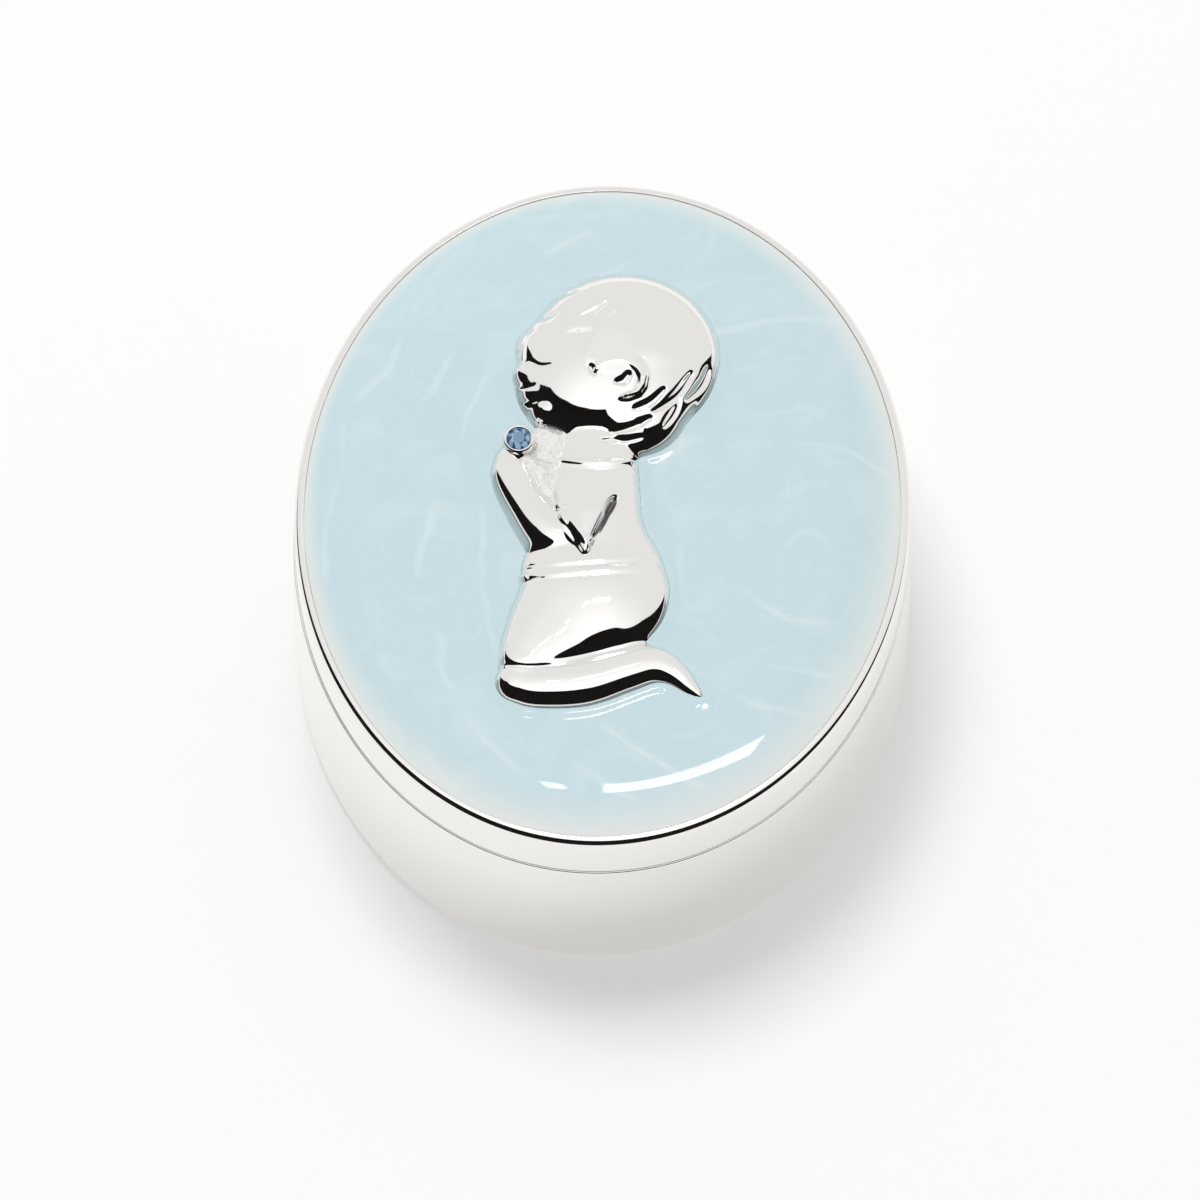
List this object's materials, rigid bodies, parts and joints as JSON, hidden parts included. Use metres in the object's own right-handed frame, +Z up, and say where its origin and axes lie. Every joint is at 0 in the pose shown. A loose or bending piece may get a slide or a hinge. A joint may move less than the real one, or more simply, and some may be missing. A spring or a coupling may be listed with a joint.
{
  "type": "oval keepsake box",
  "caption": "Oval silver-plated keepsake box with a velvet lining and a lift-off lid of domed pale blue enamel round a cast relief of a kneeling child holding a small crystal.",
  "frame": {"origin": "middle of the base felt's underside, on the surface that the box stands on", "axes": "+Z up through the lid, +Y along the oval's length towards the relief's head, +X to the right"},
  "size_m": [0.0574, 0.07, 0.0284],
  "materials": {
    "silver_plate": "polished",
    "pearl_enamel": "gloss",
    "blue_crystal": "polished",
    "lining_velvet": "matte",
    "lining_card": "matte",
    "base_felt": "matte"
  },
  "bodies": {
    "box": {"base_felt": "base_felt", "body_shell": "silver_plate", "locating_collar": "silver_plate", "floor_card": "lining_card", "floor_velvet": "lining_velvet"},
    "lid": {"lid_shell": "silver_plate", "lid_card": "lining_card", "lid_velvet": "lining_velvet", "praying_figure": "silver_plate", "enamel_fill": "pearl_enamel", "crystal": "blue_crystal", "crystal_cup": "silver_plate"}
  },
  "joints": [
    {"name": "lid_lift", "type": "slide", "parent": "box", "child": "lid", "axis": [0, 0, 1], "range_m": [0, 0.045]}
  ]
}
